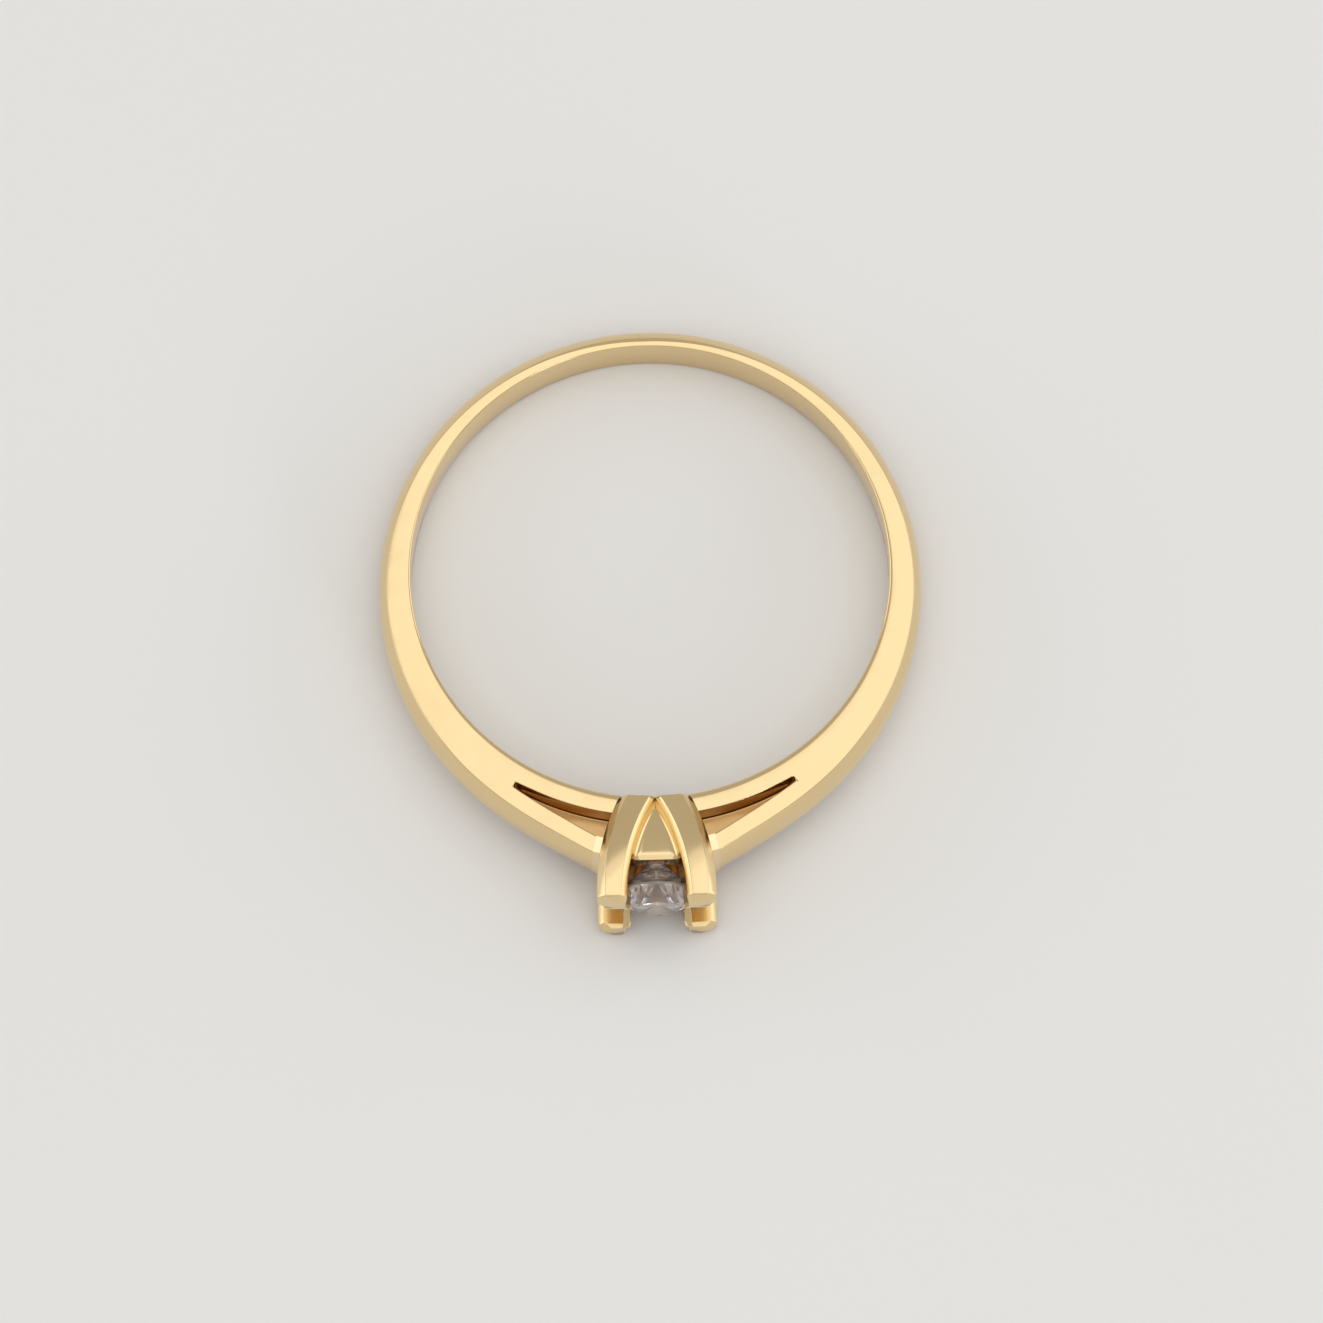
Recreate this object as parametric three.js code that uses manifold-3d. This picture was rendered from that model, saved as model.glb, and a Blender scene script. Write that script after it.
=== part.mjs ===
// Engagement ring: a tapering shank with split shoulders, a square four-claw head and a round
// brilliant. Millimetres. The origin is the centre of the finger hole, +Z runs along the finger
// and the head points to -Y, so the ring lies on its side when +Z is up.
import * as THREE from 'three';
import { mergeVertices } from 'three/addons/utils/BufferGeometryUtils.js';
import Module from 'manifold-3d';

const wasm = await Module();
wasm.setup();

// ---- Driving dimensions ------------------------------------------------------------------

const FINGER_DIAMETER = 17.3;
const SEAM = 0.02;              // gap between two pieces that touch
const STEP_ANGLE = 4;           // degrees between two sections of the shank

// Shank sections, by the angle from the head in degrees.
//   side   height of the flat side face above the finger hole
//   crown  rise of the domed outside above the side faces
//   width  along the finger
//   ease   rounding of the edge at the finger hole
const SHANK_STATIONS = [
  { angle: 6, side: 2.66, crown: 0.24, width: 2.2, ease: 0.28 },
  { angle: 10, side: 2.42, crown: 0.24, width: 2.2, ease: 0.28 },
  { angle: 20, side: 1.91, crown: 0.26, width: 2.2, ease: 0.26 },
  { angle: 45, side: 1.35, crown: 0.3, width: 2.05, ease: 0.2 },
  { angle: 90, side: 0.85, crown: 0.31, width: 1.93, ease: 0.14 },
  { angle: 135, side: 0.42, crown: 0.46, width: 1.87, ease: 0.11 },
  { angle: 180, side: 0.18, crown: 0.62, width: 1.84, ease: 0.1 },
];

// Pocket in each side of a shoulder, which splits it into a finger rail and an outer arm.
const RAIL_HEIGHT = 0.76;
const ARM_THICKNESS = 0.62;
const POCKET_WEB = 0.24;        // wall left between the two pockets of a shoulder
const POCKET_TIP_ANGLE = 32;
const POCKET_TAPER_ANGLE = 4;   // the pocket closes over this many degrees
const POCKET_TIP_RISE = 0.12;   // tip above the rail

// Round brilliant. Heights on the head are measured outwards from the finger hole.
const STONE_DIAMETER = 3;
const TABLE_DIAMETER = 1.7;
const CROWN_HEIGHT = 0.5;
const GIRDLE_THICKNESS = 0.08;
const PAVILION_DEPTH = 1.29;
const GIRDLE_HEIGHT = 3.4;
const STAR_LENGTH = 0.5;        // share of the crown's slope that the star facets cover
const LOWER_HALF_LENGTH = 0.77; // share of the pavilion that the lower girdle facets cover
const MAIN_FACETS = 8;          // round the crown, and as many round the pavilion

// Head: four claws round a square collet.
const CLAW_OUTSIDE = 0.64;      // claw metal outside the girdle, at the widest height
const HEAD_WIDEST_HEIGHT = 3.85;
const FLARE_RADIUS = 8.8;       // curve of the claws' outsides, seen from the front
const CLAW_TIP_ABOVE_TABLE = 0.32;
const CLAW_WIDTH_BASE = 1.3;
const CLAW_WIDTH_TIP = 1.05;
const CLAW_OVERLAP = 0.2;       // how far a claw tip reaches in over the girdle
const CORNER_BEVEL = 0.29;      // on the head's corner
const WINDOW_BEVEL = 0.2;      // on the edge of the window between two claws
const TIP_SLOPE_WIDTH = 0.24;   // the tip is filed down towards the outside
const TIP_SLOPE_HEIGHT = 0.16;
const TIP_INNER_BEVEL = 0.05;
const PANEL_RECESS = 0.42;      // the collet's panels lie behind the claws' faces
const COLLET_WALL = 0.6;
const COLLET_HOLE_BASE = 0.8;
const RIM_BELOW_GIRDLE = 0.84;
const HEAD_INSET = 0.06;        // head base stands this far back from the finger hole
const HEAD_STEP = 0.3;          // height between two sections of the head

// Solder bead round the end of each arm, where it meets the claws.
const BEAD_HEIGHT = 0.2;        // on the arm's side faces
const BEAD_CROWN = 0.05;        // on the arm's domed outside
const BEAD_LENGTH = 0.26;
const BEAD_EDGE = 0.02;

// ---- Values worked out from them ---------------------------------------------------------

const BORE = FINGER_DIAMETER / 2;
const SHANK_START = SHANK_STATIONS[0].angle;
const STONE_RADIUS = STONE_DIAMETER / 2;
const HEAD_HALF_WIDTH = STONE_RADIUS + CLAW_OUTSIDE;
const TABLE_HEIGHT = GIRDLE_HEIGHT + GIRDLE_THICKNESS / 2 + CROWN_HEIGHT;
const TIP_HEIGHT = TABLE_HEIGHT + CLAW_TIP_ABOVE_TABLE;
const RIM_HEIGHT = GIRDLE_HEIGHT - RIM_BELOW_GIRDLE;
const BELOW_FINGER = -0.4;      // where the head's pieces start before the finger hole trims them
// A claw's inner corner lies this far in from its window edges, which takes it over the girdle.
const HOOK = HEAD_HALF_WIDTH - CLAW_WIDTH_TIP - (STONE_RADIUS - CLAW_OVERLAP) / Math.SQRT2;

// ---- Solids ------------------------------------------------------------------------------

/** Closed solid from points and triangles, with its faces turned outwards. */
function solid(points, triangles) {
  const volume = triangles.reduce((sum, [a, b, c]) => (
    sum + points[a].dot(new THREE.Vector3().crossVectors(points[b], points[c]))
  ), 0);
  const faces = volume > 0 ? triangles : triangles.map(([a, b, c]) => [a, c, b]);
  return new wasm.Manifold(new wasm.Mesh({
    numProp: 3,
    vertProperties: new Float32Array(points.flatMap((p) => p.toArray())),
    triVerts: new Uint32Array(faces.flat()),
  }));
}

/** Closed solid from a three.js geometry. */
function solidOf(geometry) {
  geometry.deleteAttribute('normal');
  geometry.deleteAttribute('uv');
  const merged = mergeVertices(geometry);
  return new wasm.Manifold(new wasm.Mesh({
    numProp: 3,
    vertProperties: new Float32Array(merged.attributes.position.array),
    triVerts: new Uint32Array(merged.index.array),
  }));
}

/** Skins a row of rings that have the same number of points, and caps both ends. */
function loft(rings) {
  const count = rings[0].length;
  const triangles = [];
  for (let i = 0; i < rings.length - 1; i += 1) {
    for (let j = 0; j < count; j += 1) {
      const [a, b] = [i * count + j, i * count + ((j + 1) % count)];
      triangles.push([a, b, b + count], [a, b + count, a + count]);
    }
  }
  const last = (rings.length - 1) * count;
  for (let j = 1; j < count - 1; j += 1) {
    triangles.push([0, j + 1, j], [last, last + j, last + j + 1]);
  }
  return solid(rings.flat(), triangles);
}

/** Named mesh with flat faces. */
function piece(name, manifold, material) {
  const { vertProperties, triVerts } = manifold.getMesh();
  const geometry = new THREE.BufferGeometry();
  geometry.setAttribute('position', new THREE.BufferAttribute(vertProperties, 3));
  geometry.setIndex(new THREE.BufferAttribute(triVerts, 1));
  geometry.computeVertexNormals();
  const mesh = new THREE.Mesh(geometry, material);
  mesh.name = name;
  return mesh;
}

/** Point at a radius and an angle from the head, at height z along the finger. */
function aroundFinger(radius, angle, z = 0) {
  const turn = THREE.MathUtils.degToRad(angle);
  return new THREE.Vector3(radius * Math.sin(turn), -radius * Math.cos(turn), z);
}

/** The finger hole as a solid that trims the head's base; it is twice as long as the head is wide. */
function fingerHole(sides = 180) {
  const radius = BORE + HEAD_INSET;
  const headWidth = 2 * HEAD_HALF_WIDTH;
  const hole = new THREE.CylinderGeometry(radius, radius, 2 * headWidth, sides);
  return solidOf(hole.rotateX(Math.PI / 2));
}

// ---- Shank -------------------------------------------------------------------------------

const shankCurve = new THREE.CubicInterpolant(
  SHANK_STATIONS.map((s) => s.angle),
  SHANK_STATIONS.flatMap((s) => [s.side, s.crown, s.width, s.ease]),
  4,
);
shankCurve.settings = {
  endingStart: THREE.ZeroCurvatureEnding,
  endingEnd: THREE.ZeroSlopeEnding,
};

/**
 * The shank's section sizes at an angle from the head, the same on both sides. The width never
 * passes the one at the head, so the shoulders' side faces are flat.
 */
function shankAt(angle) {
  const [side, crown, width, ease] = shankCurve.evaluate(Math.min(angle, 360 - angle));
  return { side, crown, halfWidth: Math.min(width, SHANK_STATIONS[0].width) / 2, ease };
}

/** Domed outside of a section: an arc from one side face to the other, as [height, z]. */
function dome(side, crown, halfWidth, segments = 12) {
  const radius = (halfWidth ** 2 + crown ** 2) / (2 * crown);
  const half = Math.asin(Math.min(1, halfWidth / radius));
  return Array.from({ length: segments + 1 }, (_, i) => {
    const turn = half * (1 - (2 * i) / segments);
    return [side + crown - radius * (1 - Math.cos(turn)), radius * Math.sin(turn)];
  });
}

/** Rounded edge at the finger hole, on the +z side, as [height, z]. */
function easedEdge(ease, halfWidth, segments = 3) {
  return Array.from({ length: segments + 1 }, (_, i) => {
    const turn = (i / segments) * (Math.PI / 2);
    return [ease * (1 - Math.cos(turn)), halfWidth - ease * (1 - Math.sin(turn))];
  });
}

/** Ring of points of the shank's section at an angle. */
function shankRing(angle) {
  const { side, crown, halfWidth, ease } = shankAt(angle);
  const edge = easedEdge(ease, halfWidth);
  const outline = [
    ...edge,
    ...dome(side, crown, halfWidth),
    ...edge.map(([height, z]) => [height, -z]).reverse(),
  ];
  return outline.map(([height, z]) => aroundFinger(BORE + height, angle, z));
}

/** Outline of a shoulder's pocket, between the finger rail and the arm. */
function pocketOutline(steps = 14) {
  const closing = POCKET_TIP_ANGLE - POCKET_TAPER_ANGLE;
  const angles = Array.from({ length: steps + 1 }, (_, i) => (i / steps) * closing);
  const armInside = (angle) => BORE + shankAt(Math.max(angle, SHANK_START)).side - ARM_THICKNESS;
  return [
    ...angles.map((angle) => aroundFinger(BORE + RAIL_HEIGHT, angle)),
    aroundFinger(BORE + RAIL_HEIGHT + POCKET_TIP_RISE, POCKET_TIP_ANGLE),
    ...angles.reverse().map((angle) => aroundFinger(armInside(angle), angle)),
  ];
}

/** The four pockets: one in each side of each shoulder. */
function pockets() {
  const depth = SHANK_STATIONS[0].width;
  const outline = new THREE.Shape(pocketOutline().map((p) => new THREE.Vector2(p.x, p.y)));
  const cutter = new THREE.ExtrudeGeometry(outline, { depth, bevelEnabled: false });
  const right = solidOf(cutter.translate(0, 0, POCKET_WEB / 2));
  const above = right.add(right.mirror([1, 0, 0]));
  return above.add(above.mirror([0, 0, 1]));
}

/** The band, open at the head, whose outline trims the ends of its arms and rails. */
function shank() {
  const span = 360 - 2 * SHANK_START;
  const count = Math.ceil(span / STEP_ANGLE);
  const rings = Array.from({ length: count + 1 }, (_, i) => (
    shankRing(SHANK_START + (i / count) * span)
  ));
  return loft(rings).subtract(pockets()).subtract(headEnvelope(SEAM));
}

// ---- Head --------------------------------------------------------------------------------

/** Half the head's width at a height above the finger hole. */
function headHalfWidth(height) {
  const below = HEAD_WIDEST_HEIGHT - height;
  return HEAD_HALF_WIDTH - FLARE_RADIUS + Math.sqrt(FLARE_RADIUS ** 2 - below ** 2);
}

/** Where a claw's face ends at the window between two claws, at a height. */
function windowEdge(height) {
  const share = THREE.MathUtils.clamp(height / TIP_HEIGHT, 0, 1);
  const width = THREE.MathUtils.lerp(CLAW_WIDTH_BASE, CLAW_WIDTH_TIP, share);
  return Math.max(headHalfWidth(height) - width, SEAM / 2);
}

/** Heights from below the finger hole up to a top height, for lofting the head's pieces. */
function heights(top) {
  const count = Math.ceil((top - BELOW_FINGER) / HEAD_STEP);
  return Array.from({ length: count + 1 }, (_, i) => (
    THREE.MathUtils.lerp(BELOW_FINGER, top, i / count)
  ));
}

/** Square ring of points round the head's axis. */
function squareRing(half, height) {
  return [[1, 1], [-1, 1], [-1, -1], [1, -1]].map(([x, z]) => (
    new THREE.Vector3(x * half, -(BORE + height), z * half)
  ));
}

/** Everything inside the claws' outsides, with a gap round it. */
function headEnvelope(gap) {
  return loft(heights(TIP_HEIGHT).map((height) => (
    squareRing(headHalfWidth(height) + gap, height)
  )));
}

/** The collet's outer shape up to its rim, with a gap round it. */
function colletEnvelope(gap) {
  return loft(heights(RIM_HEIGHT + gap).map((height) => (
    squareRing(headHalfWidth(height) - PANEL_RECESS + gap, height)
  )));
}

/** Square collet: four recessed panels round a tapering hole. */
function collet(sides = 48) {
  const rimRadius = headHalfWidth(RIM_HEIGHT) - PANEL_RECESS - COLLET_WALL;
  const length = RIM_HEIGHT - BELOW_FINGER;
  const hole = new THREE.CylinderGeometry(COLLET_HOLE_BASE / 2, rimRadius, length, sides);
  const centre = BORE + (RIM_HEIGHT + BELOW_FINGER) / 2;
  return colletEnvelope(0)
    .subtract(solidOf(hole.translate(0, -centre, 0)))
    .subtract(fingerHole());
}

/** Ring of points of the claw at +x, +z, at a height; the insets draw its sides in. */
function clawRing(height, outerInset = 0, innerInset = 0) {
  const out = headHalfWidth(height) - outerInset;
  const edge = windowEdge(height) + innerInset;
  const inner = edge - HOOK;
  const corners = [
    [edge + WINDOW_BEVEL, out],
    [out - CORNER_BEVEL, out],
    [out, out - CORNER_BEVEL],
    [out, edge + WINDOW_BEVEL],
    [out - WINDOW_BEVEL, edge],
    [Math.max(inner, SEAM / 2), Math.max(inner, SEAM / 2)],
    [edge, out - WINDOW_BEVEL],
  ];
  return corners.map(([x, z]) => new THREE.Vector3(x, -(BORE + height), z));
}

/** Claw at +x, +z: it wraps the collet's corner and hooks over the stone. */
function claw() {
  const rings = heights(TIP_HEIGHT - TIP_SLOPE_HEIGHT).map((height) => clawRing(height));
  rings.push(clawRing(TIP_HEIGHT, TIP_SLOPE_WIDTH, TIP_INNER_BEVEL));
  return loft(rings)
    .subtract(colletEnvelope(SEAM))
    .subtract(brilliant(SEAM))
    .subtract(fingerHole());
}

/** Solder bead round the end of the right-hand arm. */
function solderBead() {
  const junction = SHANK_STATIONS[1];
  const crease = BORE + junction.side;
  const start = THREE.MathUtils.radToDeg(Math.asin(headHalfWidth(junction.side) / crease));
  const length = THREE.MathUtils.radToDeg(BEAD_LENGTH / crease);
  const armRing = (angle, sideGrow, crownGrow, inside) => {
    const { side, crown, halfWidth } = shankAt(angle);
    const outline = [
      [side - inside, halfWidth + sideGrow],
      ...dome(side, crown + crownGrow, halfWidth + sideGrow),
      [side - inside, -halfWidth - sideGrow],
    ];
    return outline.map(([height, z]) => aroundFinger(BORE + height, angle, z));
  };
  // The cone is twice as long and high as the bead; the head's outline takes off its inner half.
  const edge = SEAM + BEAD_EDGE;
  const bead = loft([
    armRing(start - length, 2 * BEAD_HEIGHT, 2 * BEAD_CROWN, ARM_THICKNESS - SEAM),
    armRing(start + length, edge, edge, ARM_THICKNESS - SEAM),
  ]);
  const reach = 2 * length;
  const arm = loft([start - reach, start, start + reach].map((angle) => (
    armRing(angle, SEAM, SEAM, 2 * ARM_THICKNESS)
  )));
  return bead.subtract(arm).subtract(headEnvelope(SEAM));
}

// ---- Stone -------------------------------------------------------------------------------

/** Round brilliant with its facets, table outwards; a gap grows it all round. */
function brilliant(gap) {
  const radius = STONE_RADIUS + gap;
  const table = TABLE_DIAMETER / 2 + gap;
  const crown = CROWN_HEIGHT + gap / 2;
  const pavilion = PAVILION_DEPTH + gap;
  const halfGirdle = GIRDLE_THICKNESS / 2 + gap / 2;
  const flat = Math.cos(Math.PI / MAIN_FACETS); // a ring's flats against its corners
  const starRadius = THREE.MathUtils.lerp(table * flat, radius, STAR_LENGTH);
  const starRise = (crown * (radius - starRadius * flat)) / (radius - table);
  const halfRadius = radius * (1 - LOWER_HALF_LENGTH);
  const halfDrop = (pavilion * (radius - halfRadius * flat)) / radius;

  const points = [];
  const ringOf = (count, r, rise, offset) => Array.from({ length: count }, (_, i) => {
    const turn = ((i + offset) / count) * 2 * Math.PI;
    const height = BORE + GIRDLE_HEIGHT + rise;
    points.push(new THREE.Vector3(r * Math.cos(turn), -height, r * Math.sin(turn)));
    return points.length - 1;
  });
  const girdleCount = 2 * MAIN_FACETS;
  const tableRing = ringOf(MAIN_FACETS, table, halfGirdle + crown, 0);
  const starRing = ringOf(MAIN_FACETS, starRadius, halfGirdle + starRise, 0.5);
  const girdleTop = ringOf(girdleCount, radius, halfGirdle, 0);
  const girdleFoot = ringOf(girdleCount, radius, -halfGirdle, 0);
  const halfRing = ringOf(MAIN_FACETS, halfRadius, -halfGirdle - halfDrop, 0.5);
  const [culet] = ringOf(1, 0, -halfGirdle - pavilion, 0);

  const triangles = [];
  for (let i = 2; i < MAIN_FACETS; i += 1) {
    triangles.push([tableRing[0], tableRing[i - 1], tableRing[i]]);
  }
  for (let i = 0; i < MAIN_FACETS; i += 1) {
    const next = (i + 1) % MAIN_FACETS;
    const before = (i + MAIN_FACETS - 1) % MAIN_FACETS;
    const main = 2 * i;
    const mid = main + 1;
    const end = (main + 2) % girdleCount;
    triangles.push(
      [tableRing[i], starRing[i], tableRing[next]],
      [tableRing[i], girdleTop[main], starRing[i]],
      [tableRing[i], starRing[before], girdleTop[main]],
      [starRing[i], girdleTop[main], girdleTop[mid]],
      [starRing[i], girdleTop[mid], girdleTop[end]],
      [halfRing[i], girdleFoot[mid], girdleFoot[main]],
      [halfRing[i], girdleFoot[end], girdleFoot[mid]],
      [culet, girdleFoot[main], halfRing[before]],
      [culet, halfRing[i], girdleFoot[main]],
    );
  }
  for (let i = 0; i < girdleCount; i += 1) {
    const next = (i + 1) % girdleCount;
    triangles.push(
      [girdleTop[i], girdleFoot[i], girdleFoot[next]],
      [girdleTop[i], girdleFoot[next], girdleTop[next]],
    );
  }
  return solid(points, triangles);
}

// ---- Assembly ----------------------------------------------------------------------------

const gold = new THREE.MeshStandardMaterial({ color: 0xe2bb72, metalness: 1, roughness: 0.18 });
const solder = new THREE.MeshStandardMaterial({ color: 0xe8c886, metalness: 1, roughness: 0.26 });
const diamond = new THREE.MeshStandardMaterial({
  color: 0xf4f4f6,
  metalness: 0,
  roughness: 0.02,
  transparent: true,
  opacity: 0.5,
});

const ring = new THREE.Group();
ring.add(piece('shank', shank(), gold));
ring.add(piece('collet', collet(), gold));

const upperRight = claw();
const upperLeft = upperRight.mirror([1, 0, 0]);
ring.add(piece('claw_upper_right', upperRight, gold));
ring.add(piece('claw_upper_left', upperLeft, gold));
ring.add(piece('claw_lower_right', upperRight.mirror([0, 0, 1]), gold));
ring.add(piece('claw_lower_left', upperLeft.mirror([0, 0, 1]), gold));

const beadRight = solderBead();
ring.add(piece('solder_right', beadRight, solder));
ring.add(piece('solder_left', beadRight.mirror([1, 0, 0]), solder));
ring.add(piece('stone', brilliant(0), diamond));

export default ring;
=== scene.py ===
import math

import bmesh
import bpy
import numpy as np
from mathutils import Matrix, Vector


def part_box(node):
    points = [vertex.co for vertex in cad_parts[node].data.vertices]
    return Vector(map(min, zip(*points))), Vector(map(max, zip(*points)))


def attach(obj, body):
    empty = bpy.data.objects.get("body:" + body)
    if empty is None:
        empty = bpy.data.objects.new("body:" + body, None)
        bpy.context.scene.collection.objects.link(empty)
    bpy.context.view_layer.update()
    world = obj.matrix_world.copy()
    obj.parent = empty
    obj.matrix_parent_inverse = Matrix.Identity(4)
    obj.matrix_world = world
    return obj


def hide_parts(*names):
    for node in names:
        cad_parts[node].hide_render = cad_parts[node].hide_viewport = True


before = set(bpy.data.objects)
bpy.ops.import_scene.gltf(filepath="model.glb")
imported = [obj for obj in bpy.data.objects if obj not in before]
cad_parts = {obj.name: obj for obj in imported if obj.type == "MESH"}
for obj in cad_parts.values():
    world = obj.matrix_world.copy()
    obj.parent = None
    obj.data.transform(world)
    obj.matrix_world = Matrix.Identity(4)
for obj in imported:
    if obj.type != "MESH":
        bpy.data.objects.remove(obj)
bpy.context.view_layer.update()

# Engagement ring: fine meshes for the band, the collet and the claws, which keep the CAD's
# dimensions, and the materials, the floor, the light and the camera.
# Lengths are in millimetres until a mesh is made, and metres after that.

MM = 0.001

# ---- Sizes read from the CAD parts ----------------------------------------------------------

STONE_LOW, STONE_HIGH = (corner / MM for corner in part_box("stone"))
CLAW_LOW, CLAW_HIGH = (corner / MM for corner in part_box("claw_upper_right"))
STONE_RADIUS = (STONE_HIGH.x - STONE_LOW.x) / 2
HEAD_HALF_WIDTH = CLAW_HIGH.x
TIP_OUT = -CLAW_LOW.y                # the claw tips' distance from the ring's centre

# ---- Sizes of the design --------------------------------------------------------------------

FINGER_RADIUS = 8.65
SEAM = 0.02

# Shank sections by the angle from the head: (angle, side, crown, width, ease).
SHANK_STATIONS = (
    (6, 2.66, 0.24, 2.2, 0.28),
    (10, 2.42, 0.24, 2.2, 0.28),
    (20, 1.91, 0.26, 2.2, 0.26),
    (45, 1.35, 0.30, 2.05, 0.20),
    (90, 0.85, 0.31, 1.93, 0.14),
    (135, 0.42, 0.46, 1.87, 0.11),
    (180, 0.18, 0.62, 1.84, 0.10),
)
RAIL_HEIGHT = 0.76
ARM_THICKNESS = 0.62
POCKET_WEB = 0.24
POCKET_TIP_ANGLE = 32
POCKET_TAPER_ANGLE = 4
POCKET_TIP_RISE = 0.12
POCKET_END_ANGLE = 1.2               # the burr's round end at the tip
POCKET_TIP_GAP = 0.18
POCKET_FADE_ANGLE = 30               # past the tip, over which the walls' lines spread out

HEAD_WIDEST_HEIGHT = 3.85
FLARE_RADIUS = 8.8
CLAW_WIDTH_BASE = 1.3
CLAW_WIDTH_TIP = 1.05
CLAW_OVERLAP = 0.2
CORNER_BEVEL = 0.29
WINDOW_BEVEL = 0.2
TIP_SLOPE_WIDTH = 0.24
TIP_SLOPE_HEIGHT = 0.16
TIP_INNER_BEVEL = 0.05
PANEL_RECESS = 0.42
COLLET_WALL = 0.6
COLLET_HOLE_BASE = 0.8
RIM_HEIGHT = 2.56
HEAD_INSET = 0.06
BELOW_FINGER = -0.4

# Rounded and curved edges, which the CAD leaves sharp, and the soldered overlap.
EDGE_ROUND = 0.05
CREASE_ROUND = 0.045
POCKET_FILLET = 0.07
FLANK_WIDTH = 0.28                   # of a panel's edge that curves up to the claw
FLANK_RISE = 0.2
FLANK_LEAST = 0.06                   # half a panel's least width, hidden by the claws
TIP_ROUND = 0.07
RIM_SLOPE_HEIGHT = 0.27
RIM_SLOPE_WIDTH = 0.11
BURIED = 0.03                        # how far the arms and the claws run into their neighbours

TIP_HEIGHT = TIP_OUT - FINGER_RADIUS
HOOK_LENGTH = 0.15                   # how far the inner corner's hook runs along each side
HOOK = HEAD_HALF_WIDTH - CLAW_WIDTH_TIP - (STONE_RADIUS - CLAW_OVERLAP) / math.sqrt(2)

# ---- Mesh settings --------------------------------------------------------------------------

WELD = 0.0005                        # points closer than this become one
SLIVER = 0.0002                      # edges shorter than this are dissolved
MOST_OF_EDGE = 0.45                  # the share of an edge that one rounded corner may take
SETTLE_ANGLE = 24                    # up to here the shank's rings lean towards the head's side
# Angles of the shank's rings, (first, last, count): they are close together at a pocket's end.
RING_ANGLES = ((0, SETTLE_ANGLE, 33), (24.25, 33, 36), (34, 180, 147))
GUARD_SHARE = 0.2                    # columns at this share of the side face keep it flat

# ---- Finish and light -----------------------------------------------------------------------

# Noise scales are in cells per millimetre.
COLOUR_CELLS = 0.35
POLISH_CELLS = 1.1
WAVE_CELLS = 0.3
BUFFING_CELLS = 9
BUFFING_STRETCH = (1, 1, 5)
BUFFING_DEPTH = 0.00015
# Painted shade: where ambient occlusion finds the gold enclosed (pockets, windows, between the
# claws), its colour is mixed towards this dark brown.
RECESS_SHADE_REACH = 2.6
RECESS_SHADE_START = 0.62                  # openness below which the gold starts to turn brown
RECESS_SHADE_FULL = 0.3                    # openness at which it is all brown
RECESS_SHADE_COLOUR = (0.50, 0.31, 0.13)
STONE_CELLS = 0.7
STONE_BROWN = (0.66, 0.57, 0.54)
STONE_CLEAR = (0.96, 0.94, 0.96)
STONE_TRANSMISSION = 0.85
STONE_IOR = 2.2
GIRDLE_ROUGHNESS = 0.3
FLOOR_CELLS = 0.02
FLOOR_HALF = 1.5                     # metres

WALL_COLOUR = (1.0, 0.95, 0.86)
WALL_RADIANCE = 0.55
# Name, place in metres, width and height in metres, radiance.
SOFTBOXES = (
    ("overhead", (0.05, -0.05, 0.6), 0.9, 0.8, 0.50),
    ("overhead_core", (0.16, 0.14, 0.59), 0.46, 0.46, 0.22),
    ("left_window", (-0.6, 0.1, 0.12), 0.6, 0.4, 0.9),
    ("right_window", (0.6, 0.1, 0.12), 0.6, 0.4, 0.9),
    ("front_lamp", (0.3, -0.5, 0.12), 0.12, 0.12, 7),
)

# ---- Meshes ---------------------------------------------------------------------------------


def blend(a, b, share):
    return a + (b - a) * share


def clamp(value, low=0.0, high=1.0):
    return max(low, min(high, value))


def rounded(corners, closed, segments=4):
    """A polygon (or an open line) with each corner (x, y, radius) replaced by an arc."""
    count = len(corners)
    made = []
    for i, (x, y, radius) in enumerate(corners):
        here = np.array((x, y))
        if radius == 0 or (not closed and i in (0, count - 1)):
            made.append(here)
            continue
        before = np.array(corners[i - 1][:2]) - here
        after = np.array(corners[(i + 1) % count][:2]) - here
        reach = MOST_OF_EDGE * min(np.linalg.norm(before), np.linalg.norm(after))
        if reach < 1e-6:
            made += [here] * (segments + 1)
            continue
        before, after = before / np.linalg.norm(before), after / np.linalg.norm(after)
        opening = math.acos(clamp(float(before @ after), -1, 1))
        tangent = min(radius / math.tan(opening / 2), reach)
        start, end = here + before * tangent, here + after * tangent
        for k in range(segments + 1):
            t = k / segments
            made.append((1 - t) ** 2 * start + 2 * t * (1 - t) * here + t ** 2 * end)
    return made


def mesh_object(name, points, faces):
    """A closed mesh in metres from points in millimetres, welded and facing out."""
    mesh = bpy.data.meshes.new(name)
    mesh.from_pydata([tuple(Vector(p) * MM) for p in points], [], faces)
    work = bmesh.new()
    work.from_mesh(mesh)
    bmesh.ops.remove_doubles(work, verts=work.verts, dist=WELD * MM)
    bmesh.ops.dissolve_degenerate(work, edges=work.edges, dist=SLIVER * MM)
    bmesh.ops.recalc_face_normals(work, faces=work.faces)
    work.to_mesh(mesh)
    work.free()
    piece = bpy.data.objects.new(name, mesh)
    bpy.context.scene.collection.objects.link(piece)
    return piece


def lofted(name, rings):
    """Skins a row of rings that have the same number of points, and caps both ends."""
    count = len(rings[0])
    faces = []
    for i in range(len(rings) - 1):
        for j in range(count):
            a, b = i * count + j, i * count + (j + 1) % count
            faces.append((a, b, b + count, a + count))
    last = (len(rings) - 1) * count
    faces.append(tuple(reversed(range(count))))
    faces.append(tuple(range(last, last + count)))
    return mesh_object(name, [p for ring in rings for p in ring], faces)


def apply_modifiers(piece):
    bpy.context.view_layer.update()
    evaluated = piece.evaluated_get(bpy.context.evaluated_depsgraph_get())
    mesh = bpy.data.meshes.new_from_object(evaluated)
    piece.modifiers.clear()
    piece.data = mesh


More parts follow.
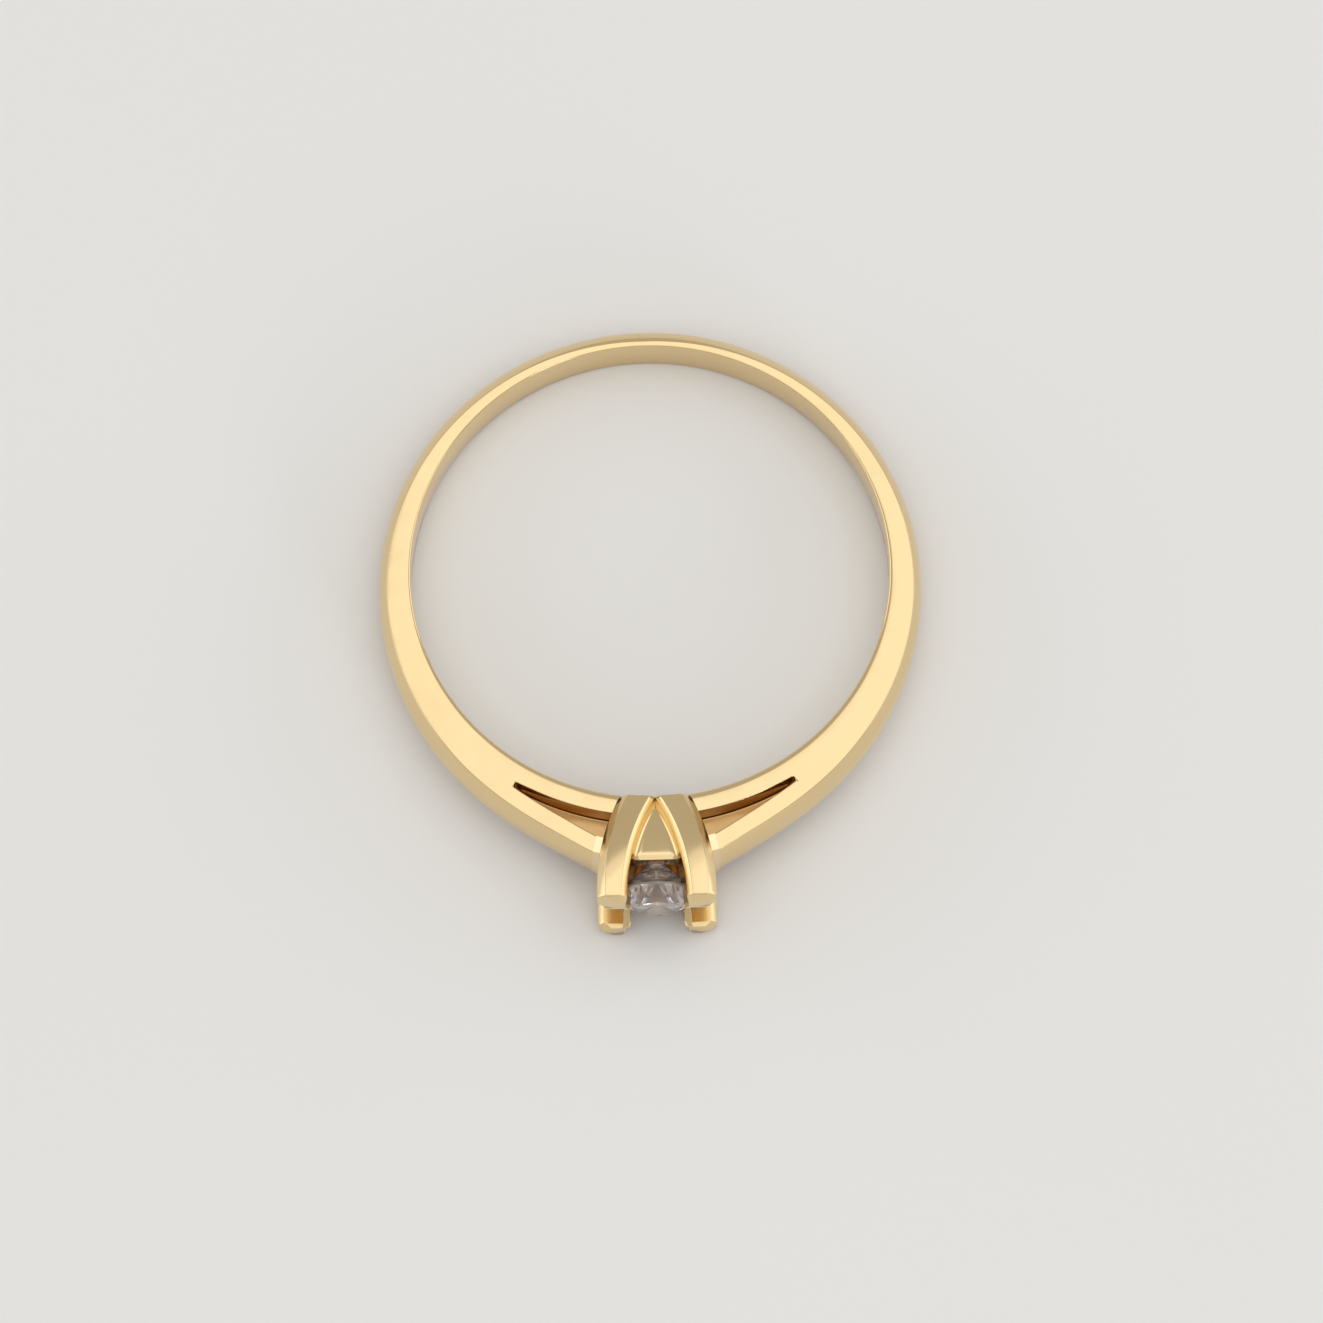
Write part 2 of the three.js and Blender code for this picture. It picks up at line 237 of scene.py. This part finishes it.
def cut(piece, *cutters):
    """Cuts the cutters out of a piece and removes them."""
    for cutter in cutters:
        boolean = piece.modifiers.new("cut", "BOOLEAN")
        boolean.operation = "DIFFERENCE"
        boolean.solver = "EXACT"
        boolean.object = cutter
    apply_modifiers(piece)
    for cutter in cutters:
        bpy.data.objects.remove(cutter)


def mirrored(piece, name, x, z):
    """A mirrored copy: x and z are 1 or -1."""
    mesh = piece.data.copy()
    mesh.transform(Matrix.Diagonal((x, 1, z, 1)))
    if x * z < 0:
        mesh.flip_normals()
    copy = bpy.data.objects.new(name, mesh)
    bpy.context.scene.collection.objects.link(copy)
    return copy


def smooth(piece, angle):
    """Smooth shading with flat faces kept flat, except across edges sharper than an angle."""
    piece.data.polygons.foreach_set("use_smooth", [True] * len(piece.data.polygons))
    piece.data.set_sharp_from_angle(angle=math.radians(angle))
    weighted = piece.modifiers.new("weighted", "WEIGHTED_NORMAL")
    weighted.keep_sharp = True
    apply_modifiers(piece)


def around_finger(height, angle, z):
    """Point at a height above the finger hole and an angle in degrees from the head."""
    turn = math.radians(angle)
    radius = FINGER_RADIUS + height
    return radius * math.sin(turn), -radius * math.cos(turn), z


# ---- Shank ----------------------------------------------------------------------------------


def shank_at(angle):
    """(side, crown, half width, ease) at an angle: a cubic through the stations."""
    angles = [station[0] for station in SHANK_STATIONS]
    values = [np.array(station[1:]) for station in SHANK_STATIONS]
    i = next((k for k in range(1, len(angles)) if angle < angles[k]), len(angles) - 1)
    t0, t1 = angles[i - 1], angles[i]
    first, last = i == 1, i == len(angles) - 1
    before, value_before = (t1, values[i]) if first else (angles[i - 2], values[i - 2])
    after, value_after = (2 * t1 - t0, values[i]) if last else (angles[i + 1], values[i + 1])
    weight_before = (t1 - t0) / 2 / (t0 - before)
    weight_after = (t1 - t0) / 2 / (after - t1)
    p = clamp((angle - t0) / (t1 - t0))
    side, crown, width, ease = (
        (-weight_before * p ** 3 + 2 * weight_before * p ** 2 - weight_before * p) * value_before
        + ((1 + weight_before) * p ** 3 - (1.5 + 2 * weight_before) * p ** 2
           + (weight_before - 0.5) * p + 1) * values[i - 1]
        + (-(1 + weight_after) * p ** 3 + (1.5 + weight_after) * p ** 2 + 0.5 * p) * values[i]
        + (weight_after * p ** 3 - weight_after * p ** 2) * value_after
    )
    return side, crown, min(width, SHANK_STATIONS[0][3]) / 2, ease


def pocket_at(angle, side, half, ease):
    """(lower wall, upper wall, floor) of the shoulder's pocket at an angle.

    Past the tip the walls are two lines on the side face, which glide to thirds of its height."""
    closing = POCKET_TIP_ANGLE - POCKET_TAPER_ANGLE
    share = clamp((angle - closing) / POCKET_TAPER_ANGLE)
    glide = clamp((angle - POCKET_TIP_ANGLE) / POCKET_FADE_ANGLE)
    arm_inside = (side if angle < closing else shank_at(closing)[0]) - ARM_THICKNESS
    tip = RAIL_HEIGHT + POCKET_TIP_RISE
    low = blend(RAIL_HEIGHT, tip - POCKET_TIP_GAP / 2, share)
    high = blend(arm_inside, tip + POCKET_TIP_GAP / 2, share)
    depth = math.sqrt(clamp((POCKET_TIP_ANGLE - angle) / POCKET_END_ANGLE))
    return (
        blend(low, blend(ease, side, 1 / 3), glide),
        blend(high, blend(ease, side, 2 / 3), glide),
        blend(half, POCKET_WEB / 2, depth),
    )


def shank_outline(angle, dome_steps=10):
    """Half of the section as (height, z), from the finger hole to the top of the dome."""
    side, crown, half, ease = shank_at(angle)
    low, high, floor = pocket_at(angle, side, half, ease)
    corners = [
        (0, 0, 0),
        (0, half, ease),
        (blend(ease, low, 1 - GUARD_SHARE), half, 0),
        (low, half, EDGE_ROUND),
        (low, floor, POCKET_FILLET),
        (high, floor, POCKET_FILLET),
        (high, half, EDGE_ROUND),
        (blend(high, side, GUARD_SHARE), half, 0),
        (side, half, CREASE_ROUND),
    ]
    radius = (half ** 2 + crown ** 2) / (2 * crown)
    spread = math.asin(min(1, half / radius))
    for k in range(1, dome_steps + 1):
        turn = spread * (1 - k / dome_steps)
        corners.append((side + crown - radius * (1 - math.cos(turn)), radius * math.sin(turn), 0))
    return rounded(corners, closed=False)


def shank_start(height):
    """Angle at which the shank meets the head, at a height above the finger hole."""
    reach = head_half_width(height) - BURIED
    return math.degrees(math.asin(reach / (FINGER_RADIUS + height)))


def shank_half_ring(nominal, rounds=4):
    """Half ring at a nominal angle; near the head its points move on to the head's side."""
    points = []
    for j, (height, z) in enumerate(shank_outline(max(nominal, SHANK_STATIONS[0][0]))):
        angle = nominal
        if nominal < SETTLE_ANGLE:
            for _ in range(rounds):
                angle = blend(shank_start(height), SETTLE_ANGLE, nominal / SETTLE_ANGLE)
                height, z = shank_outline(angle)[j]
        points.append((height, angle, z))
    return points


def shank_ring(half_ring, side):
    """Closed ring on one side of the head, 1 for the right and -1 for the left."""
    lower = [(height, angle, -z) for height, angle, z in half_ring[-2:0:-1]]
    placed = [around_finger(*point) for point in half_ring + lower]
    return [(side * x, y, z) for x, y, z in placed]


def make_shank():
    angles = np.concatenate([np.linspace(*span) for span in RING_ANGLES])
    halves = [shank_half_ring(angle) for angle in angles]
    rings = [shank_ring(half, 1) for half in halves]
    rings += [shank_ring(half, -1) for half in halves[-2::-1]]
    piece = lofted("band", rings)
    smooth(piece, angle=50)
    return piece


# ---- Head -----------------------------------------------------------------------------------


def head_half_width(height):
    below = HEAD_WIDEST_HEIGHT - height
    return HEAD_HALF_WIDTH - FLARE_RADIUS + math.sqrt(FLARE_RADIUS ** 2 - below ** 2)


def window_edge(height):
    """Where a claw's face ends at the window between two claws."""
    width = blend(CLAW_WIDTH_BASE, CLAW_WIDTH_TIP, clamp(height / TIP_HEIGHT))
    return max(head_half_width(height) - width, SEAM / 2)


def placed_on_head(outline, height):
    return [(x, -(FINGER_RADIUS + height), z) for x, z in outline]


def claw_outline(height, outer_inset=0.0, inner_inset=0.0):
    """Section of the claw at +x, +z; the insets draw its sides in."""
    out = head_half_width(height) - outer_inset
    edge = window_edge(height) + inner_inset
    inner = max(edge - HOOK, SEAM / 2)
    return rounded([
        (edge + WINDOW_BEVEL, out, EDGE_ROUND),
        (out - CORNER_BEVEL, out, EDGE_ROUND),
        (out, out - CORNER_BEVEL, EDGE_ROUND),
        (out, edge + WINDOW_BEVEL, EDGE_ROUND),
        (out - WINDOW_BEVEL, edge, EDGE_ROUND),
        (edge + HOOK_LENGTH, edge, EDGE_ROUND),
        (inner, inner, EDGE_ROUND),
        (edge, edge + HOOK_LENGTH, EDGE_ROUND),
        (edge, out - WINDOW_BEVEL, EDGE_ROUND),
    ], closed=True)


def claw_rings(steps=48, round_steps=4):
    shoulder = TIP_HEIGHT - TIP_SLOPE_HEIGHT
    rings = [
        placed_on_head(claw_outline(height), height)
        for height in np.linspace(BELOW_FINGER, shoulder - TIP_ROUND, steps)
    ]
    for k in range(1, round_steps + 1):
        turn = k / round_steps * math.pi / 2
        height = shoulder - TIP_ROUND * (1 - math.sin(turn))
        inset = TIP_ROUND * (1 - math.cos(turn))
        rings.append(placed_on_head(claw_outline(height, inset), height))
    rings.append(placed_on_head(
        claw_outline(TIP_HEIGHT, TIP_SLOPE_WIDTH, TIP_INNER_BEVEL), TIP_HEIGHT))
    return rings


def finger_cutter(sides=256):
    """The finger hole as a solid along Z, longer than the head is wide."""
    radius = FINGER_RADIUS + HEAD_INSET
    reach = 2 * HEAD_HALF_WIDTH
    turns = [2 * math.pi * i / sides for i in range(sides)]
    return lofted("finger_cutter", [
        [(radius * math.cos(t), radius * math.sin(t), z) for t in turns] for z in (-reach, reach)
    ])


def stone_cutter():
    """The stone grown by the seam."""
    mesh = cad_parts["stone"].data.copy()
    centre = (STONE_LOW + STONE_HIGH) / 2 * MM
    grown = Matrix.Scale(1 + SEAM / STONE_RADIUS, 4)
    mesh.transform(Matrix.Translation(centre) @ grown @ Matrix.Translation(-centre))
    work = bmesh.new()
    work.from_mesh(mesh)
    bmesh.ops.remove_doubles(work, verts=work.verts, dist=WELD * MM)
    work.to_mesh(mesh)
    work.free()
    cutter = bpy.data.objects.new("stone_cutter", mesh)
    bpy.context.scene.collection.objects.link(cutter)
    return cutter


def collet_cutter(steps=40):
    """The collet without its hole, a little smaller, so that the claws keep hold of it."""
    return lofted("collet_cutter", [
        placed_on_head(collet_outline(height, BURIED), height)
        for height in np.linspace(2 * BELOW_FINGER, RIM_HEIGHT, steps)
    ])


def make_claws():
    """The four claws, by node name."""
    first = lofted("claw_gold_upper_right", claw_rings())
    cut(first, finger_cutter(), stone_cutter(), collet_cutter())
    claws = {"claw_upper_right": first}
    for level, z in (("upper", 1), ("lower", -1)):
        for hand, x in (("right", 1), ("left", -1)):
            if (x, z) != (1, 1):
                name = f"{level}_{hand}"
                claws["claw_" + name] = mirrored(first, "claw_gold_" + name, x, z)
    for claw in claws.values():
        smooth(claw, angle=28)
    return claws


def panel_edge(panel, edge, steps=12):
    """Half a panel's section, from its middle to a claw: it curves up to meet the claw."""
    points = []
    for k in range(steps + 1):
        across = edge * k / steps
        climb = clamp((across - edge + FLANK_WIDTH) / FLANK_WIDTH)
        points.append((across, panel + FLANK_RISE * climb ** 2))
    return points


def collet_outline(height, inset=0.0):
    """Section of the collet: a square whose four panels curve up to the claws at their edges."""
    panel = head_half_width(height) - PANEL_RECESS - inset
    edge = max(window_edge(height), FLANK_LEAST)
    half = panel_edge(panel, edge)
    side = [(-x, y) for x, y in half[:0:-1]] + half
    behind = edge + BURIED
    side += [(behind, panel), (panel, panel), (panel, behind)]
    outline = []
    for _ in range(4):
        outline += side
        side = [(y, -x) for x, y in side]
    return outline


def hole_cutter(sides=96):
    """The collet's tapering hole as a solid."""
    rim_radius = head_half_width(RIM_HEIGHT) - PANEL_RECESS - COLLET_WALL
    spare = 0.1
    slope = (rim_radius - COLLET_HOLE_BASE / 2) / (RIM_HEIGHT - BELOW_FINGER)
    turns = [2 * math.pi * i / sides for i in range(sides)]
    ends = (
        (BELOW_FINGER - spare, COLLET_HOLE_BASE / 2 - spare * slope),
        (RIM_HEIGHT + spare, rim_radius + spare * slope),
    )
    return lofted("hole_cutter", [
        placed_on_head([(r * math.cos(t), r * math.sin(t)) for t in turns], height)
        for height, r in ends
    ])


def make_collet(steps=40, rim_steps=6):
    rings = [
        placed_on_head(collet_outline(height), height)
        for height in np.linspace(BELOW_FINGER, RIM_HEIGHT - RIM_SLOPE_HEIGHT, steps)
    ]
    for k in range(1, rim_steps + 1):
        share = k / rim_steps
        height = RIM_HEIGHT - RIM_SLOPE_HEIGHT * (1 - share)
        rings.append(placed_on_head(collet_outline(height, RIM_SLOPE_WIDTH * share ** 2), height))
    piece = lofted("collet_gold", rings)
    cut(piece, hole_cutter(), finger_cutter())
    smooth(piece, angle=40)
    return piece


# ---- Materials ------------------------------------------------------------------------------


class Nodes:
    """Short names for building a material's nodes."""

    def __init__(self, name):
        self.material = bpy.data.materials.new(name)
        self.material.use_nodes = True
        self.tree = self.material.node_tree
        self.shader = self.tree.nodes["Principled BSDF"]

    def add(self, kind, **settings):
        node = self.tree.nodes.new(kind)
        for key, value in settings.items():
            if hasattr(node, key):
                setattr(node, key, value)
            else:
                node.inputs[key.replace("_", " ")].default_value = value
        return node

    def link(self, output, target):
        self.tree.links.new(output, target)

    def noise(self, scale, stretch=(1, 1, 1), detail=3.0):
        """Noise with its scale in cells per millimetre."""
        place = self.add("ShaderNodeTexCoord")
        mapping = self.add("ShaderNodeMapping")
        mapping.inputs["Scale"].default_value = [scale / MM * s for s in stretch]
        self.link(place.outputs["Object"], mapping.inputs["Vector"])
        noise = self.add("ShaderNodeTexNoise", Scale=1.0, Detail=detail)
        self.link(mapping.outputs["Vector"], noise.inputs["Vector"])
        return noise.outputs["Fac"]

    def ranged(self, value, low, high, start=0.3, end=0.7):
        """Maps a value that runs from start to end on to low to high."""
        node = self.add("ShaderNodeMapRange")
        node.inputs["From Min"].default_value = start
        node.inputs["From Max"].default_value = end
        node.inputs["To Min"].default_value = low
        node.inputs["To Max"].default_value = high
        self.link(value, node.inputs["Value"])
        return node.outputs["Result"]

    def mixed(self, share, first, second):
        """Mixes two colours, each given as a colour or as another node's output."""
        node = self.add("ShaderNodeMix", data_type="RGBA")
        self.link(share, node.inputs["Factor"])
        for colour, target in ((first, node.inputs[6]), (second, node.inputs[7])):
            if isinstance(colour, tuple):
                target.default_value = (*colour, 1)
            else:
                self.link(colour, target)
        return node.outputs[2]

    def bump(self, height, depth_mm, before=None):
        node = self.add("ShaderNodeBump", Strength=1.0, Distance=depth_mm * MM)
        self.link(height, node.inputs["Height"])
        if before is not None:
            self.link(before, node.inputs["Normal"])
        return node.outputs["Normal"]


def gold_material(name, first, second, smoothest, roughest, waviness):
    """Hand-polished gold: soft waves, fine buffing lines and painted brown shade in the recesses.
    """
    nodes = Nodes(name)
    shader = nodes.shader
    shader.inputs["Metallic"].default_value = 1.0
    # Painted shade: ambient occlusion mixes the gold's colour towards dark brown in pockets and
    # corners.
    cover = nodes.add("ShaderNodeAmbientOcclusion", samples=8, Distance=RECESS_SHADE_REACH * MM)
    recess_shade = nodes.ranged(cover.outputs["AO"], 1.0, 0.0, RECESS_SHADE_FULL, RECESS_SHADE_START)
    polished = nodes.mixed(nodes.noise(COLOUR_CELLS), first, second)
    nodes.link(nodes.mixed(recess_shade, polished, RECESS_SHADE_COLOUR), shader.inputs["Base Color"])
    polish = nodes.ranged(nodes.noise(POLISH_CELLS), smoothest, roughest)
    nodes.link(polish, shader.inputs["Roughness"])
    waves = nodes.bump(nodes.noise(WAVE_CELLS, detail=2.0), waviness)
    lines = nodes.bump(nodes.noise(BUFFING_CELLS, BUFFING_STRETCH), BUFFING_DEPTH, waves)
    nodes.link(lines, shader.inputs["Normal"])
    return nodes.material


def stone_material():
    """Faceted stone with a bruted girdle and a brownish cloud."""
    nodes = Nodes("clear_stone")
    shader = nodes.shader
    shader.inputs["IOR"].default_value = STONE_IOR
    shader.inputs["Transmission Weight"].default_value = STONE_TRANSMISSION
    cloud = nodes.ranged(nodes.noise(STONE_CELLS), 0.0, 1.0, start=0.4, end=0.6)
    nodes.link(nodes.mixed(cloud, STONE_BROWN, STONE_CLEAR), shader.inputs["Base Color"])
    place = nodes.add("ShaderNodeTexCoord")
    split = nodes.add("ShaderNodeSeparateXYZ")
    nodes.link(place.outputs["Normal"], split.inputs["Vector"])
    level = nodes.add("ShaderNodeMath", operation="ABSOLUTE")
    nodes.link(split.outputs["Y"], level.inputs[0])
    bruting = nodes.ranged(level.outputs[0], GIRDLE_ROUGHNESS, 0.0, start=0.02, end=0.1)
    nodes.link(bruting, shader.inputs["Roughness"])
    return nodes.material


def floor_material():
    nodes = Nodes("pale_floor")
    tone = nodes.mixed(nodes.noise(FLOOR_CELLS), (0.885, 0.90, 0.925), (0.905, 0.92, 0.945))
    nodes.link(tone, nodes.shader.inputs["Base Color"])
    nodes.shader.inputs["Roughness"].default_value = 0.55
    return nodes.material


# ---- Stage ----------------------------------------------------------------------------------


def resting_line():
    """(height at y = 0, slope) of the surface that the ring rests on, in the y, z plane."""
    points = sorted({
        (round(v.co.y, 7), round(v.co.z, 7))
        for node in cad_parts.values() for v in node.data.vertices
    })
    hull = []
    for point in points:
        while len(hull) > 1:
            (y0, z0), (y1, z1) = hull[-2:]
            if (y1 - y0) * (point[1] - z0) > (z1 - z0) * (point[0] - y0):
                break
            hull.pop()
        hull.append(point)
    (y0, z0), (y1, z1) = next(
        (a, b) for a, b in zip(hull, hull[1:]) if a[0] <= 0 <= b[0])
    slope = (z1 - z0) / (y1 - y0)
    return z0 - slope * y0, slope


def make_floor():
    level, slope = resting_line()
    mesh = bpy.data.meshes.new("floor")
    corners = [(x * FLOOR_HALF, y * FLOOR_HALF) for x, y in ((-1, -1), (1, -1), (1, 1), (-1, 1))]
    mesh.from_pydata([(x, y, level + slope * y) for x, y in corners], [], [(0, 1, 2, 3)])
    floor = bpy.data.objects.new("floor", mesh)
    bpy.context.scene.collection.objects.link(floor)
    floor.data.materials.append(floor_material())


def softbox(name, place, width, height, radiance):
    """Rectangular light at a place in metres, aimed at the ring. The world shines through it."""
    data = bpy.data.lights.new(name, "AREA")
    data.shape = "RECTANGLE"
    data.size = width
    data.size_y = height
    data.energy = radiance * math.pi * width * height
    light = bpy.data.objects.new(name, data)
    light.location = place
    light.rotation_mode = "QUATERNION"
    light.rotation_quaternion = Vector(place).to_track_quat("Z", "Y")
    bpy.context.scene.collection.objects.link(light)


def make_world():
    """Dim warm walls all round."""
    world = bpy.data.worlds.new("studio")
    world.use_nodes = True
    background = world.node_tree.nodes["Background"]
    background.inputs["Color"].default_value = (*WALL_COLOUR, 1)
    background.inputs["Strength"].default_value = WALL_RADIANCE
    bpy.context.scene.world = world


def make_lights():
    make_world()
    for light in SOFTBOXES:
        softbox(*light)
    bpy.context.scene.view_settings.view_transform = "Standard"


def make_camera():
    """Camera over the head's side of the ring, aimed a little below and right of the hole."""
    distance, frame_width, sensor = 0.4, 0.04793, 36.0
    elevation, roll = math.radians(70.5), math.radians(1.25)
    aim_right, aim_up = 0.413 * MM, -3.011 * MM
    back = Vector((0, -math.cos(elevation), math.sin(elevation)))
    level_up = Vector((0, math.sin(elevation), math.cos(elevation)))
    level_right = Vector((1, 0, 0))
    up = level_up * math.cos(roll) + level_right * math.sin(roll)
    right = level_right * math.cos(roll) - level_up * math.sin(roll)
    place = back * distance
    z_axis = (place - right * aim_right - up * aim_up).normalized()
    x_axis = up.cross(z_axis).normalized()
    y_axis = z_axis.cross(x_axis)
    data = bpy.data.cameras.new("camera")
    data.sensor_width = sensor
    data.lens = sensor * distance / frame_width
    data.clip_start, data.clip_end = 0.01, 10
    camera = bpy.data.objects.new("camera", data)
    camera.matrix_world = Matrix.Translation(place) @ Matrix(
        (x_axis, y_axis, z_axis)).transposed().to_4x4()
    bpy.context.scene.collection.objects.link(camera)
    bpy.context.scene.camera = camera


# ---- Assembly -------------------------------------------------------------------------------


def dress(piece, material, node):
    """Gives a new piece its material and the root body, and hides the CAD node it replaces."""
    piece.data.materials.append(material)
    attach(piece, "root")
    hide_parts(node)


def refinish(node, material):
    """Gives a CAD node, whose mesh stays as it is, a better material."""
    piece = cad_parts[node]
    for place in piece.material_slots:
        place.material = material


def main():
    make_camera()
    gold = gold_material(
        "polished_gold", first=(0.81, 0.62, 0.34), second=(0.85, 0.67, 0.38),
        smoothest=0.10, roughest=0.2, waviness=0.05)
    solder = gold_material(
        "gold_solder", first=(0.84, 0.66, 0.40), second=(0.88, 0.71, 0.45),
        smoothest=0.16, roughest=0.26, waviness=0.03)
    dress(make_shank(), gold, "shank")
    dress(make_collet(), gold, "collet")
    for node, claw in make_claws().items():
        dress(claw, gold, node)
    for node in ("solder_right", "solder_left"):
        refinish(node, solder)
    refinish("stone", stone_material())
    make_floor()
    make_lights()


main()
